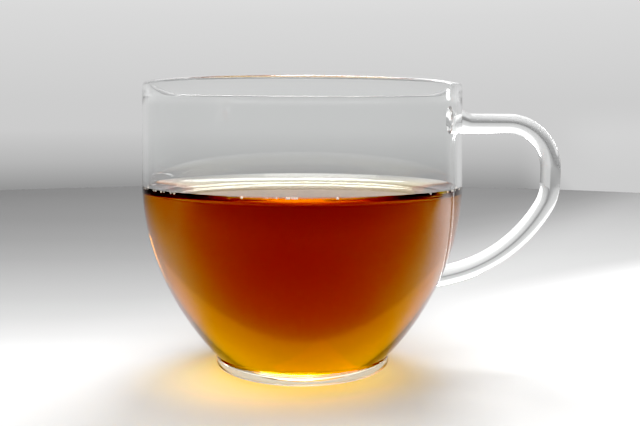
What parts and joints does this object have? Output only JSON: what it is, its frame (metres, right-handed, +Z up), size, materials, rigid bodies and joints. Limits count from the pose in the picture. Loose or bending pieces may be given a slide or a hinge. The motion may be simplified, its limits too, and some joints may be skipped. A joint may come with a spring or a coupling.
{
  "type": "glass cup of tea",
  "caption": "Clear glass cup with a rounded bowl, low foot and looped rod handle, filled with amber tea to two thirds of its height.",
  "frame": {"origin": "centre of the foot's flat underside, on the cup's axis", "axes": "+Z up along the cup's axis, +X towards the handle"},
  "size_m": [0.1148, 0.085, 0.0754],
  "materials": {
    "clear_glass": "clear polished glass",
    "amber_tea": "clear amber liquid with a still surface"
  },
  "bodies": {
    "root": {"glass_cup": "clear_glass", "tea": "amber_tea"}
  },
  "joints": []
}
